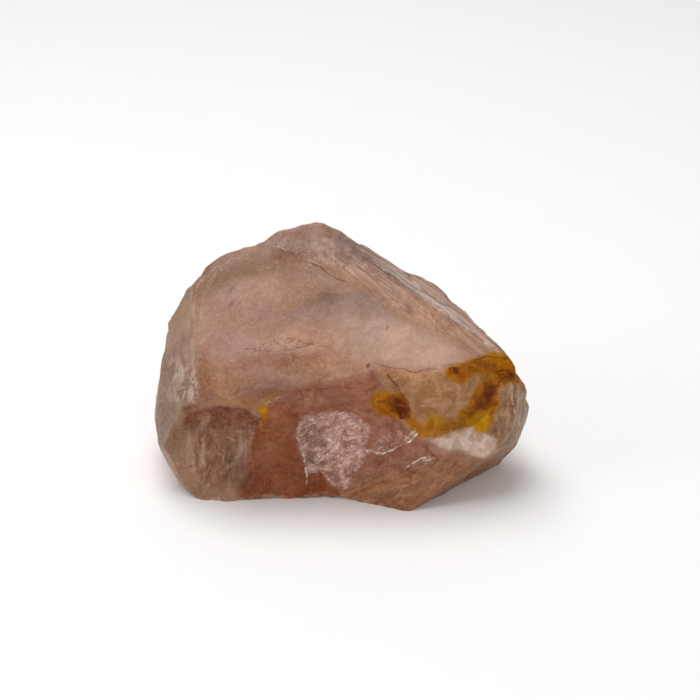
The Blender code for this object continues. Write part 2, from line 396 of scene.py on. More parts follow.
BAY_GREY = [
    (148, 408), (184, 412), (191, 436), (194, 464), (180, 466), (200, 480), (230, 490), (230, 508),
    (190, 505), (150, 450),
]
CHEEK = [
    (374, 368), (430, 369), (500, 358), (498, 384), (470, 430), (440, 438), (412, 430), (392, 395),
]
ROUGH_SCAR = [
    (297, 427), (303, 416), (320, 412), (345, 412), (358, 416), (369, 423), (366, 436), (371, 452),
    (360, 466), (352, 479), (345, 490), (334, 486), (322, 471), (308, 474), (304, 458), (299, 442),
]
SMOOTH_ZONE = [
    (370, 452), (383, 456), (398, 449), (412, 441), (426, 447), (424, 457), (407, 466), (395, 478),
    (368, 484), (352, 482), (361, 466),
]
LENSES = [
    [(368, 452), (375, 443), (386, 434), (404, 428), (417, 431), (412, 440), (398, 448), (383, 455)],
    [(408, 467), (420, 459), (432, 455), (437, 459), (428, 465), (414, 469)],
]
CHALK = [
    (431, 442), (440, 435), (447, 432), (463, 429), (480, 430), (496, 438), (498, 451), (488, 458),
    (473, 454), (449, 449),
]
RIGHT_END = [
    (498, 380), (520, 366), (535, 400), (530, 440), (505, 466), (490, 440), (494, 404),
]
LOWER_RIGHT = [
    (350, 486), (372, 474), (400, 470), (434, 456), (470, 458), (500, 458), (512, 466), (420, 525),
    (330, 512),
]
# Iron seeps: strength, softness and outline
ORANGE = [
    (1.0, 7.0, [
        (447, 371), (460, 364), (472, 360), (482, 355), (494, 351), (506, 354), (515, 362), (523, 374),
        (520, 381), (508, 379), (498, 373), (490, 372), (482, 376), (470, 376), (460, 382), (450, 380),
    ]),
    (0.9, 5.0, [
        (512, 361), (522, 371), (529, 388), (522, 391), (515, 379),
    ]),
    (0.8, 4.0, [
        (497, 372), (512, 377), (505, 382), (498, 384),
    ]),
    (1.1, 7.0, [
        (484, 382), (490, 376), (498, 380), (498, 396), (492, 408), (481, 418), (468, 425), (464, 414),
        (468, 403), (474, 392),
    ]),
    (0.62, 8.0, [
        (411, 433), (417, 421), (428, 414), (442, 418), (454, 420), (466, 413), (480, 411), (496, 401),
        (495, 420), (490, 433), (466, 431), (448, 435), (430, 439), (414, 439),
    ]),
    (0.5, 4.0, [
        (404, 414), (414, 414), (420, 424), (412, 428), (404, 422),
    ]),
]
RUST = [
    (0.85, 5.0, [
        (485, 384), (493, 380), (496, 395), (490, 406), (479, 415), (468, 421), (474, 406), (481, 395),
    ]),
    (0.6, 3.0, [
        (418, 433), (432, 435), (446, 432), (458, 429), (446, 437), (430, 440),
    ]),
    (0.4, 4.0, [
        (442, 420), (454, 419), (453, 429), (444, 430),
    ]),
    (0.4, 5.0, [
        (452, 370), (462, 368), (472, 371), (470, 377), (456, 380),
    ]),
    (0.6, 2.0, [
        (423, 447), (433, 453), (438, 461), (430, 456),
    ]),
]
YELLOW = [
    (467, 426), (475, 417), (486, 412), (489, 422), (486, 430), (475, 430),
]
OCHRE_BROW = [
    (200, 404), (226, 398), (250, 396), (280, 388), (304, 386), (280, 396), (264, 404), (266, 420),
    (256, 416), (250, 408),
]

COMBED = [
    (338, 262), (352, 244), (372, 256), (420, 298), (450, 318), (500, 356), (470, 352), (430, 326),
    (400, 308), (370, 290), (350, 276),
]
PLUM = [
    (285, 398), (310, 388), (336, 384), (352, 380), (373, 374), (392, 394), (412, 430), (388, 444),
    (372, 452), (368, 423), (352, 413), (322, 410), (298, 412),
]

# Lighter and darker clouds, partly the stone's own tone and partly painted highlights and painted shade:
# place, half width, half height, turn, strength
LIGHT_CLOUDS = [
    (286, 292, 18, 12, 0, 0.5), (309, 343, 24, 10, 0, 0.45), (335, 360, 26, 8, -10, 0.35),
    (429, 436, 14, 6, -10, 0.4), (357, 396, 20, 12, 20, 0.3), (352, 444, 12, 24, 8, 0.3),
    (338, 478, 10, 9, 0, 0.35), (430, 312, 26, 12, 35, 0.4), (432, 392, 18, 10, 0, 0.5),
    (490, 446, 12, 8, 0, 0.6), (505, 405, 8, 18, 0, 0.5), (310, 400, 20, 8, 0, 0.3),
    (189, 465, 10, 14, 0, 0.4), (405, 480, 26, 8, -10, 0.4), (460, 440, 16, 8, 0, 0.3),
    (318, 246, 10, 8, 0, 0.3), (336, 466, 14, 14, 0, 0.3), (300, 490, 40, 8, 0, 0.25),
    (346, 432, 14, 12, 0, 0.3), (309, 362, 14, 6, -10, 0.25),
]
DARK_CLOUDS = [
    (250, 266, 34, 14, -22, 0.8), (212, 285, 22, 16, -55, 0.5), (165, 388, 10, 22, 0, 0.5),
    (156, 420, 10, 20, 0, 0.9), (368, 308, 22, 14, 30, 0.55), (333, 243, 26, 12, 20, 0.6),
    (300, 246, 30, 12, 10, 0.55), (236, 455, 12, 28, 0, 0.6), (213, 425, 20, 10, 0, 0.4),
    (357, 345, 18, 12, 0, 0.3), (400, 290, 20, 12, 30, 0.3), (378, 380, 12, 8, 0, 0.4),
    (168, 432, 12, 22, 0, 0.6), (285, 392, 30, 6, -8, 0.3), (470, 350, 22, 8, 20, 0.3),
    (372, 262, 20, 12, 35, 0.4), (412, 290, 40, 6, 38, 0.4), (466, 332, 30, 6, 38, 0.4),
    (187, 394, 9, 16, 0, 0.5), (174, 330, 12, 30, 6, 0.25), (308, 428, 14, 12, 0, 0.25),
    (312, 458, 8, 20, 0, 0.4), (475, 376, 14, 10, 0, 0.4), (452, 425, 14, 8, 0, 0.3),
    (270, 380, 26, 8, -14, 0.3), (176, 374, 12, 30, 0, 0.4), (362, 325, 24, 16, 40, 0.5),
    (333, 298, 14, 8, 0, 0.4), (347, 240, 16, 8, 20, 0.4), (332, 299, 28, 5, -2, 0.45),
    (380, 262, 16, 8, 35, 0.4), (504, 440, 12, 14, 0, 0.6), (240, 468, 9, 18, 0, 0.4),
    (405, 398, 12, 8, 0, 0.3),
]
# Tan clouds, browner than the rest of the skin
TAN_CLOUDS = [
    (262, 266, 44, 10, -14, 0.7), (208, 290, 8, 30, 20, 0.6), (222, 382, 26, 18, 0, 0.6),
    (300, 362, 40, 8, 0, 0.5), (380, 300, 44, 5, 32, 0.6), (300, 296, 24, 8, -10, 0.5),
    (262, 330, 30, 8, 10, 0.35), (462, 345, 30, 8, 30, 0.5), (184, 385, 8, 24, 0, 0.5),
    (176, 326, 14, 34, 6, 0.7), (345, 272, 30, 6, 26, 0.5), (162, 425, 14, 26, 0, 0.8),
    (500, 445, 14, 14, 0, 0.6), (430, 286, 20, 6, 36, 0.4), (236, 470, 8, 20, 0, 0.4),
]

# Terraced strip above the hollow front
STEPS = [(245, 344), (280, 334), (330, 340), (345, 352), (300, 354), (250, 356)]

# Soft ovals: place, half width, half height, turn, softness, strength
MAUVE_SPOTS = [
    (330, 306, 46, 16, -2, 0.8, 1.0), (265, 300, 46, 26, -20, 0.9, 0.5), (300, 275, 40, 10, 0, 0.8, 0.45),
]
PINK_SPOTS = [
    (405, 345, 58, 22, 8, 0.7, 1.0), (360, 315, 26, 14, 30, 0.8, 0.5), (250, 288, 30, 20, -30, 0.8, 0.35),
]
BROWN_SPOTS = [
    (282, 360, 52, 9, -4, 0.7, 0.7), (205, 375, 8, 40, 0, 0.7, 0.5), (240, 385, 40, 12, 0, 0.8, 0.45),
    (270, 480, 40, 20, 0, 0.8, 0.5), (356, 395, 30, 16, 20, 0.8, 0.5), (290, 256, 20, 6, 10, 0.7, 0.4),
    (280, 394, 28, 7, -8, 0.8, 0.7), (214, 424, 30, 12, 0, 0.8, 0.4),
]
ORANGE_SPOTS = [
    (389, 403, 15, 12, 20, 0.8, 1.2), (293, 306, 18, 3.5, -14, 0.8, 0.3), (225, 385, 26, 12, 0, 0.8, 0.22),
]
RUST_SPOTS = [
    (400, 406, 8, 14, -42, 0.8, 1.0), (405, 413, 6, 5, 30, 0.8, 0.6), (456, 371, 7, 5, 0, 0.6, 0.6),
    (490, 357, 14, 3, 4, 0.6, 0.5), (508, 374, 10, 4, 20, 0.6, 0.5), (312, 391, 10, 5, 0, 0.7, 0.4),
]
YELLOW_SPOTS = [
    (262, 411, 5, 4, -30, 0.5, 0.8), (263, 422, 3, 8, 0, 0.6, 0.5), (434, 421, 7, 6, 0, 0.7, 0.35),
    (466, 422, 8, 6, 0, 0.8, 0.3), (492, 358, 12, 4, 0, 0.7, 0.3),
]
VEIL_SPOTS = [
    (317, 243, 15, 9, 10, 0.8, 1.0), (328, 256, 8, 9, 0, 0.7, 0.8), (240, 450, 8, 10, 30, 0.8, 0.5),
    (236, 472, 7, 22, 12, 0.8, 0.4), (202, 462, 7, 26, 0, 0.8, 0.4),
]
PITS = [
    (241, 303, 1.5, 1.5, 0, 0.5, 0.8), (228, 291, 1.4, 1.4, 0, 0.5, 0.4), (229, 301, 1.4, 1.4, 0, 0.5, 0.4),
    (215, 282, 1.4, 1.4, 0, 0.5, 0.4), (387, 328, 1.5, 1.5, 0, 0.5, 0.5), (323, 224, 3.0, 1.6, 0, 0.3, 1.0),
    (369, 367, 3.0, 2.0, 0, 0.3, 1.0), (375, 299, 1.4, 1.4, 0, 0.3, 1.0),
]
# Pale veils along lines: share of the noise that bends them, and path
VEIL_STROKES = [
    (0.4, [(338, 264), (370, 280), (400, 294), (450, 322)]),
    (1.0, [(205, 420), (188, 440), (192, 470)]),
    (0.5, [(232, 262), (215, 276), (206, 300), (202, 345)]),
]
VEIL_STRENGTH = 0.5
VEIL_WIDTH = 6

# Directions of striations
DIAGONAL = (0.62, -0.47, -0.37)
FAN = (0.86, -0.1, 0.5)


def bends(mesh, points, sides):
    """Ridge and valley measure at every vertex, in millimetres."""
    ends = np.empty(len(mesh.edges) * 2, dtype=np.int64)
    mesh.edges.foreach_get("vertices", ends)
    one, other = ends.reshape(-1, 2).T
    count = np.bincount(one, minlength=len(points)) + np.bincount(other, minlength=len(points))

    def around(values):
        total = np.bincount(one, values[other], len(points)) + np.bincount(other, values[one], len(points))
        return total / count

    middle = np.stack([around(points[:, axis]) for axis in range(3)], axis=1)
    bend = np.sum((points - middle) * sides, axis=1) / MM
    for _ in range(2):
        bend = (bend + around(bend)) / 2.0
    return bend


def region_masks(marks):
    """Masks of the stone's regions, stains and clouds."""
    m = SimpleNamespace(hidden=1.0 - marks.seen)
    m.slope = marks.area(SLOPE, 5.0, 0.4)
    m.apex = marks.area(APEX, 1.8, 0.4)
    m.roof = marks.area(ROOF, 2.0, 0.2)
    m.band = marks.area(ROOF_BAND, 1.6, 0.3)
    m.left = marks.area(LEFT_STRIP, 3.0, 0.3)
    m.torn = marks.area(TORN, 3.0)
    m.bay = marks.area(BAY, 4.0, 0.5)
    m.bay_grey = marks.area(BAY_GREY, 6.0)
    m.overhang = marks.area(OVERHANG, 3.5, 0.8)
    m.cheek = marks.area(CHEEK, 4.0, 0.6)
    m.rough = marks.area(ROUGH_SCAR, 2.0, 0.7)
    m.chalk = marks.area(CHALK, 2.0, 0.7)
    m.lens = np.clip(sum(marks.area(corners, 1.6, 0.5) for corners in LENSES), 0, 1)
    m.end = marks.area(RIGHT_END, 4.0, 0.6)
    m.low_right = marks.area(LOWER_RIGHT, 7.0)
    hollow = marks.area(LOWER_FRONT, 7.0)
    m.front = hollow + 0.7 * m.low_right * (1 - hollow)
    m.combed = marks.area(COMBED, 8.0)
    m.plum = marks.area(PLUM, 8.0) + 1.1 * marks.area(SMOOTH_ZONE, 4.0)
    m.mauve = marks.spots(MAUVE_SPOTS) + 0.9 * marks.area(GREY_FACET, 5.0)
    m.mauve += 0.2 * marks.area(SMOOTH_ZONE, 5.0)
    m.pink = marks.spots(PINK_SPOTS)
    m.brown = marks.spots(BROWN_SPOTS)
    m.orange = marks.seeps(ORANGE) + marks.spots(ORANGE_SPOTS) + 0.32 * marks.area(OCHRE_BROW, 4.0)
    m.rust = marks.seeps(RUST) + marks.spots(RUST_SPOTS)
    m.yellow = marks.area(YELLOW, 3.5) + marks.spots(YELLOW_SPOTS)
    m.veil = marks.spots(VEIL_SPOTS)
    m.veil += VEIL_STRENGTH * sum(marks.stroke(path, VEIL_WIDTH, warp) for warp, path in VEIL_STROKES)
    m.pit = np.clip(marks.spots(PITS), 0, 1)
    # Lighter and darker clouds: the stone's tone, with painted highlights and painted shade
    m.light = marks.clouds(LIGHT_CLOUDS)
    m.dark = marks.clouds(DARK_CLOUDS)
    m.tan = marks.clouds(TAN_CLOUDS)
    return m


def relief(points, marks, m, crack_side, pale_side):
    """Relief in millimetres along the skin's normal."""
    calm = 1.0 - np.clip(m.rough + m.chalk, 0, 1)
    lift = 0.12 * grain(points, 4.5, 2.0, 3) + 0.035 * grain(points, 1.1, 7.0, 2) * calm
    lift += m.slope * 0.05 * grain(points, 7.0, 8.0)
    lift += m.combed * 0.07 * combed(points, DIAGONAL, 14.0, 1.0, 4.0)
    lift += m.roof * 0.14 * combed(points, DIAGONAL, 18.0, 0.8, 3.0)
    lift += m.end * 0.10 * combed(points, (0.25, 0.1, 1.0), 12.0, 1.0, 3.0)
    lift += m.low_right * 0.12 * combed(points, FAN, 9.0, 0.9, 6.0)
    lift += m.bay * 0.08 * combed(points, (0.1, -0.3, 1.0), 10.0, 1.8, 2.0)
    lift += marks.area(LOWER_FRONT, 7.0) * calm * 0.07 * grain(points, 1.3, 3.0, 2)
    lift += m.rough * (0.30 * np.abs(grain(points, 1.5, 3.0, 3)) + 0.12 * grain(points, 0.7, 1.0) - 0.12)
    lift += m.chalk * 0.18 * np.abs(grain(points, 1.6, 6.0, 2))
    stair = grain(points * np.array([0.35, 1.0, 1.0]), 2.4, 5.0, 2)
    lift += (marks.area(STEPS, 6.0) + 0.6 * m.torn) * 0.22 * np.floor(stair * 4.0) / 4.0
    lift += m.lens * (0.12 * grain(points, 1.1, 4.0, 2) - 0.10)
    lift += m.apex * 0.22 - m.overhang * 0.25
    terrace = grain(points * np.array([1.0, 1.0, 0.6]), 5.5, 14.0, 2)
    lift += m.hidden * 0.38 * np.floor(terrace * 3.0) / 3.0
    lift += m.hidden * 0.08 * combed(points, (0.3, 0.2, 1.0), 9.0, 1.2, 9.0)
    lift -= 0.12 * (1.0 - smooth(0.6, 2.2, np.abs(crack_side))) * m.crack_run + 0.1 * m.pit
    lift += 0.06 * (1.0 - smooth(0.6, 2.4, np.abs(pale_side))) * m.pale_run
    return lift


def store(mesh, name, values):
    """Keep one value per vertex under a name."""
    layer = mesh.attributes.new(name, "FLOAT", "POINT")
    layer.data.foreach_set("value", values.astype(np.float32))


def paint(obj):
    """Lay the fine relief on the skin and store the masks that the material reads."""
    mesh = obj.data
    points = coordinates(mesh)
    sides = normals(mesh)
    marks = Marks(points, sides)
    m = region_masks(marks)
    crack_side, m.crack_run = marks.threads(CRACKS)
    pale_side, m.pale_run = marks.threads(PALE_THREADS)
    lift = relief(points, marks, m, crack_side, pale_side)
    rim = smooth(0.008, 0.05, bends(mesh, points, sides))
    lift += rim * (0.16 * grain(points, 1.8, 12.0, 2) - 0.05)
    lift[points[:, 2] < RESTING_BAND] = 0.0
    moved = points + sides * (lift * MM)[:, None]
    moved = np.clip(moved, np.array(cad_low), np.array(cad_high))
    mesh.vertices.foreach_set("co", moved.ravel())
    mesh.update()
    bend = bends(mesh, moved, normals(mesh))
    # Ridge and valley masks: painted highlights along the ridges, painted shade in the valleys
    m.ridge = smooth(0.006, 0.045, bend) * (1.0 + 0.6 * m.hidden)
    m.valley = smooth(0.006, 0.045, -bend)
    for name, values in vars(m).items():
        store(mesh, name, np.clip(values, 0, 1))
    for name, values in (("crack_side", crack_side), ("pale_side", pale_side)):
        store(mesh, name, np.clip(values, -SIDE_LIMIT, SIDE_LIMIT))


def linear(red, green, blue):
    """Linear colour from 0 to 255 screen values."""
    def one(v):
        v /= 255.0
        return v / 12.92 if v <= 0.04045 else ((v + 0.055) / 1.055) ** 2.4
    return one(red), one(green), one(blue), 1.0


class Nodes:
    """Short hand for building a node material."""

    def __init__(self, name):
        self.material = bpy.data.materials.new(name)
        self.material.use_nodes = True
        self.tree = self.material.node_tree
        self.shader = self.tree.nodes["Principled BSDF"]
        self.place = self.tree.nodes.new("ShaderNodeTexCoord").outputs["Object"]

    def link(self, source, target):
        """Join a socket to another, or set its value."""
        if isinstance(source, (int, float, tuple)):
            target.default_value = source
        else:
            self.tree.links.new(source, target)

    def mask(self, name):
        """One of the values stored on the skin."""
        node = self.tree.nodes.new("ShaderNodeAttribute")
        node.attribute_name = name
        return node.outputs["Fac"]

    def math(self, operation, a, b=0.0, clamp=False):
        node = self.tree.nodes.new("ShaderNodeMath")
        node.operation = operation
        node.use_clamp = clamp
        self.link(a, node.inputs[0])
        self.link(b, node.inputs[1])
        return node.outputs[0]

    def add(self, *values):
        total = values[0]
        for value in values[1:]:
            total = self.math("ADD", total, value)
        return total

    def times(self, *values, clamp=False):
        """Product of two or more values."""
        total = values[0]
        for value in values[1:-1]:
            total = self.math("MULTIPLY", total, value)
        return self.math("MULTIPLY", total, values[-1], clamp)

    def ramp(self, value, low, high, bottom=0.0, top=1.0):
        """Smooth step of a value from bottom to top."""
        node = self.tree.nodes.new("ShaderNodeMapRange")
        node.interpolation_type = "SMOOTHSTEP"
        self.link(value, node.inputs["Value"])
        node.inputs["From Min"].default_value = low
        node.inputs["From Max"].default_value = high
        node.inputs["To Min"].default_value = bottom
        node.inputs["To Max"].default_value = top
        return node.outputs["Result"]

    def grains(self, vector, scale, detail, rough, warp):
        """Noise over a vector."""
        node = self.tree.nodes.new("ShaderNodeTexNoise")
        self.link(vector, node.inputs["Vector"])
        node.inputs["Scale"].default_value = scale
        node.inputs["Detail"].default_value = detail
        node.inputs["Roughness"].default_value = rough
        node.inputs["Distortion"].default_value = warp
        return node.outputs["Fac"]

    def noise(self, size, detail=4.0, rough=0.55, warp=0.0, stretch=(1, 1, 1)):
        """Noise with grains of a size in millimetres."""
        mapping = self.tree.nodes.new("ShaderNodeMapping")
        self.link(self.place, mapping.inputs["Vector"])
        mapping.inputs["Scale"].default_value = stretch
        return self.grains(mapping.outputs[0], 1.0 / (size * MM), detail, rough, warp)

    def vector(self, operation, a, b=(0, 0, 0), scale=1.0):
        node = self.tree.nodes.new("ShaderNodeVectorMath")
        node.operation = operation
        self.link(a, node.inputs[0])
        if operation == "SCALE":
            self.link(scale, node.inputs["Scale"])
        else:
            self.link(b, node.inputs[1])
        return node.outputs["Value" if operation == "DOT_PRODUCT" else "Vector"]

    def combed(self, along, length, width):
        """Noise drawn out along a direction."""
        size = math.sqrt(sum(c * c for c in along))
        along = tuple(c / size for c in along)
        run = self.vector("DOT_PRODUCT", self.place, along)
        straight = self.vector("SCALE", along, scale=run)
        across = self.vector("SUBTRACT", self.place, straight)
        across = self.vector("SCALE", across, scale=1.0 / (width * MM))
        straight = self.vector("SCALE", straight, scale=1.0 / (length * MM))
        return self.grains(self.vector("ADD", across, straight), 1.0, 4.0, 0.6, 0.3)

    def cells(self, size):
        """Flat facets, each with its own brightness."""
        node = self.tree.nodes.new("ShaderNodeTexVoronoi")
        self.link(self.place, node.inputs["Vector"])
        node.inputs["Scale"].default_value = 1.0 / (size * MM)
        node.inputs["Randomness"].default_value = 1.0
        return self.vector("DOT_PRODUCT", node.outputs["Color"], (0.4, 0.3, 0.3))

    def thread(self, name, thin, wide, sway):
        """Thin line where a signed distance passes through zero, swaying by a noise."""
        away = self.math("ABSOLUTE", self.add(self.mask(name + "_side"), sway))
        return self.times(self.ramp(away, thin, wide, 1.0, 0.0), self.mask(name + "_run"))

    def net(self, value, width):
        """Thin contour lines through the middle of a noise."""
        away = self.math("ABSOLUTE", self.math("SUBTRACT", value, 0.5))
        return self.ramp(away, 0.0, width, 1.0, 0.0)

    def swing(self, value, size, name=None):
        """Noise about zero, scaled, kept to a mask."""
        value = self.times(self.math("SUBTRACT", value, 0.5), size)
        return value if name is None else self.times(value, self.mask(name))

    def mix(self, share, bottom, top):
        """Mix of two colours: sockets, linear colours, or three screen values from 0 to 255."""
        node = self.tree.nodes.new("ShaderNodeMix")
        node.data_type = "RGBA"
        self.link(share, node.inputs[0])
        for slot, colour in ((6, bottom), (7, top)):
            if isinstance(colour, tuple) and len(colour) == 3:
                colour = linear(*colour)
            self.link(colour, node.inputs[slot])
        return node.outputs[2]

    def blend(self, value, low, high, bottom, top):
        """Colour that goes from one to another as a value rises."""
        return self.mix(self.ramp(value, low, high), bottom, top)

    def stain(self, colour, name, share, tint):
        """Lay a tint over the colour where a mask says so."""
        return self.mix(self.times(self.mask(name), share, clamp=True), colour, tint)


def patterns(n):
    """Noises, frost with painted glints, specks of painted glints and lines that several parts of the
    stone's look share.
    """
    p = SimpleNamespace()
    p.cloud = n.noise(9.0, 5.0, 0.6, 0.8)
    p.mottle = n.noise(3.0, 6.0, 0.65, 1.2)
    p.fine = n.noise(1.2, 6.0, 0.7, 0.6)
    p.speck = n.noise(0.45, 4.0, 0.7)
    p.stria = n.combed(DIAGONAL, 12.0, 0.8)
    p.strips = n.combed(DIAGONAL, 16.0, 0.42)
    p.hatch = n.combed((0.5, -0.3, 1.0), 1.6, 0.45)
    p.upright = n.combed((0.15, -0.25, 1.0), 6.0, 1.1)
    p.fan = n.combed(FAN, 8.0, 0.8)
    p.wisps = n.net(n.noise(6.0, 7.0, 0.6, 1.6), 0.022)
    p.facets = n.cells(1.7)
    p.far = n.mask("hidden")
    p.red = n.blend(p.cloud, 0.38, 0.62, (126, 68, 43), (152, 94, 70))
    p.bloom = n.times(p.far, n.ramp(n.noise(8.0, 7.0, 0.65, 1.0, (0.8, 1.1, 1.3)), 0.54, 0.62))

    crackle = n.net(n.noise(1.1, 6.0, 0.7, 1.8), 0.05)
    ripple = n.combed((0.8, 0.1, 0.6), 2.6, 0.55)
    # Frost: pale frosting of the broken skin, with painted glints
    frost = n.add(
        n.times(crackle, 0.4), n.ramp(ripple, 0.48, 0.62, 0.0, 0.5), n.ramp(p.speck, 0.52, 0.66, 0.0, 0.25))
    p.frost = n.times(frost, n.ramp(p.mottle, 0.38, 0.60, 0.35, 1.1))
    # Specks for painted glints
    p.sparkle = n.times(n.ramp(p.speck, 0.60, 0.68), n.ramp(ripple, 0.50, 0.60))

    sway = n.swing(p.fine, 5.0)
    p.crack = n.times(n.thread("crack", 0.1, 0.75, sway), n.ramp(p.speck, 0.36, 0.52, 0.45, 1.0))
    # Pale veins, and painted glints along thin lines
    pale = n.times(n.thread("pale", 0.2, 1.5, sway), n.ramp(p.fine, 0.38, 0.58, 0.3, 1.0))
    p.pale = n.times(pale, n.ramp(n.noise(2.2, 3.0), 0.36, 0.56, 0.35, 1.0))
    return p


def body_colour(n, p):
    """Colours of the stone's regions, with painted shade under the brow."""
    rosy = n.ramp(n.noise(13.0, 5.0, 0.55, 1.0), 0.40, 0.62, 0.0, 0.7)
    colour = n.blend(p.cloud, 0.36, 0.64, (156, 116, 96), (176, 138, 118))
    colour = n.stain(colour, "slope", rosy, (172, 137, 126))
    colour = n.stain(colour, "left", 0.8, n.blend(p.mottle, 0.4, 0.6, (138, 102, 82), (154, 122, 104)))
    colour = n.stain(colour, "apex", 0.7, n.blend(p.mottle, 0.4, 0.6, (146, 108, 92), (162, 128, 114)))
    colour = n.stain(colour, "mauve", 0.8, (142, 110, 98))
    colour = n.stain(colour, "pink", 0.85, (206, 172, 154))
    colour = n.stain(colour, "tan", n.ramp(p.mottle, 0.36, 0.6, 0.6, 1.0), (150, 112, 80))
    colour = n.stain(colour, "front", 1.0, p.red)
    colour = n.stain(colour, "plum", 0.85, n.blend(p.mottle, 0.38, 0.6, (144, 94, 76), (160, 114, 98)))
    colour = n.stain(colour, "low_right", n.ramp(p.fan, 0.38, 0.60, 0.35, 0.95), (156, 112, 84))
    colour = n.stain(colour, "bay", 0.95, n.blend(p.upright, 0.36, 0.64, (132, 86, 62), (152, 112, 88)))
    colour = n.stain(colour, "bay_grey", 0.7, (158, 126, 102))
    # Painted shade under the overhanging brow: dark browns
    colour = n.stain(colour, "overhang", 0.95, n.blend(p.mottle, 0.35, 0.6, (96, 46, 28), (128, 76, 54)))
    colour = n.stain(colour, "cheek", 1.0, n.blend(p.mottle, 0.35, 0.65, (154, 106, 70), (176, 132, 100)))
    colour = n.stain(colour, "end", 0.9, n.blend(p.upright, 0.38, 0.62, (130, 92, 62), (160, 128, 100)))
    colour = n.stain(colour, "brown", 0.85, (126, 72, 48))
    colour = n.stain(colour, "roof", 0.9, n.blend(p.stria, 0.38, 0.60, (138, 104, 90), (172, 142, 128)))
    return n.stain(colour, "band", n.ramp(p.stria, 0.36, 0.56, 0.4, 0.95), (202, 178, 166))


def far_sides(n, p, colour):
    """Rose, warm and chalky patches of the sides that the photo hides."""
    rose = n.ramp(n.noise(13.0, 5.0, 0.55, 1.0), 0.38, 0.60, 0.1, 0.85)
    streak = n.ramp(n.combed((0.3, 0.2, 1.0), 9.0, 1.3), 0.42, 0.62, 0.0, 0.4)
    warm = n.ramp(n.noise(17.0, 5.0, 0.55, 0.8), 0.47, 0.68, 0.0, 0.75)
    ochre = n.ramp(n.noise(11.0, 7.0, 0.65, 1.2, (1.2, 1.0, 0.8)), 0.60, 0.68, 0.0, 0.4)
    colour = n.stain(colour, "hidden", rose, (188, 146, 132))
    colour = n.stain(colour, "hidden", streak, (196, 164, 148))
    colour = n.stain(colour, "hidden", warm, p.red)
    colour = n.stain(colour, "hidden", ochre, (166, 110, 48))
    return n.mix(n.times(p.bloom, 0.75), colour, (202, 176, 162))


def broken_skin(n, p, colour):
    """Torn, frosted, chalky and veiled skin, with painted glints on the frost."""
    torn = n.ramp(n.noise(2.6, 7.0, 0.65, 1.0), 0.47, 0.53, 0.15, 0.95)
    colour = n.stain(colour, "torn", 0.6, (140, 104, 82))
    colour = n.stain(colour, "torn", torn, (196, 174, 156))
    colour = n.stain(colour, "rough", 0.9, n.blend(p.mottle, 0.36, 0.60, (138, 88, 70), (182, 138, 124)))
    # Frost on the rough scar: pale frosting with painted glints
    colour = n.stain(colour, "rough", p.frost, (244, 214, 204))
    colour = n.mix(n.times(p.bloom, p.frost), colour, (238, 216, 206))
    colour = n.stain(colour, "lens", n.times(p.frost, 0.8), (220, 184, 168))
    dust = n.ramp(n.noise(1.8, 6.0, 0.65, 1.5), 0.5, 0.62, 0.0, 0.4)
    chalk = n.blend(p.facets, 0.15, 0.85, (192, 164, 146), (220, 200, 186))
    colour = n.stain(colour, "chalk", 0.95, n.mix(dust, chalk, (172, 138, 114)))
    return n.stain(colour, "veil", n.ramp(p.upright, 0.38, 0.62, 0.1, 0.75), (196, 164, 144))


def wisps_and_ridges(n, p, colour):
    """Pale wisps, wrinkles and striations, painted highlights on the ridges and painted shade in the
    valleys.
    """
    threads = n.net(n.noise(2.6, 6.0, 0.6, 1.4), 0.03)
    wrinkle = n.net(n.noise(1.5, 5.0, 0.6, 2.2), 0.03)
    wrinkle = n.times(wrinkle, n.ramp(n.noise(4.0, 4.0, 0.6), 0.42, 0.60))
    calm = n.math("SUBTRACT", 1.0, n.times(n.mask("front"), 0.65))
    colour = n.mix(n.times(p.wisps, 0.14), colour, (206, 176, 156))
    colour = n.mix(n.times(threads, calm, 0.2), colour, (214, 184, 164))
    colour = n.mix(n.times(wrinkle, calm, 0.3), colour, (218, 186, 168))
    colour = n.stain(colour, "combed", n.ramp(p.strips, 0.50, 0.62, 0.0, 0.5), (200, 164, 142))
    colour = n.stain(colour, "apex", n.times(wrinkle, 0.35), (224, 196, 184))
    # Painted highlight: paler colour along the ridges
    colour = n.stain(colour, "ridge", n.ramp(p.fine, 0.35, 0.6, 0.10, 0.45), (208, 178, 158))
    # Painted shade: darker colour in the valleys and creases
    return n.stain(colour, "valley", 0.35, (104, 62, 42))


def iron_stains(n, p, colour):
    """Iron stains, pale at the rim and deep in the middle."""
    blotch = n.add(n.swing(n.noise(1.7, 7.0, 0.7, 1.0), 1.8), n.swing(p.fine, 0.8), n.swing(p.speck, 0.6))
    seep = n.add(n.mask("orange"), n.times(n.mask("orange"), blotch))
    core = n.add(n.mask("rust"), n.times(n.mask("rust"), blotch))
    ochre = n.blend(p.mottle, 0.38, 0.62, (132, 70, 0), (172, 104, 6))
    ochre = n.blend(seep, 0.30, 0.90, (172, 120, 40), ochre)
    colour = n.blend(seep, 0.08, 0.80, colour, ochre)
    colour = n.blend(core, 0.10, 0.95, colour, n.blend(core, 0.5, 1.1, (130, 62, 0), (86, 26, 0)))
    return n.stain(colour, "yellow", n.ramp(p.mottle, 0.36, 0.56, 0.4, 0.9), (204, 150, 8))


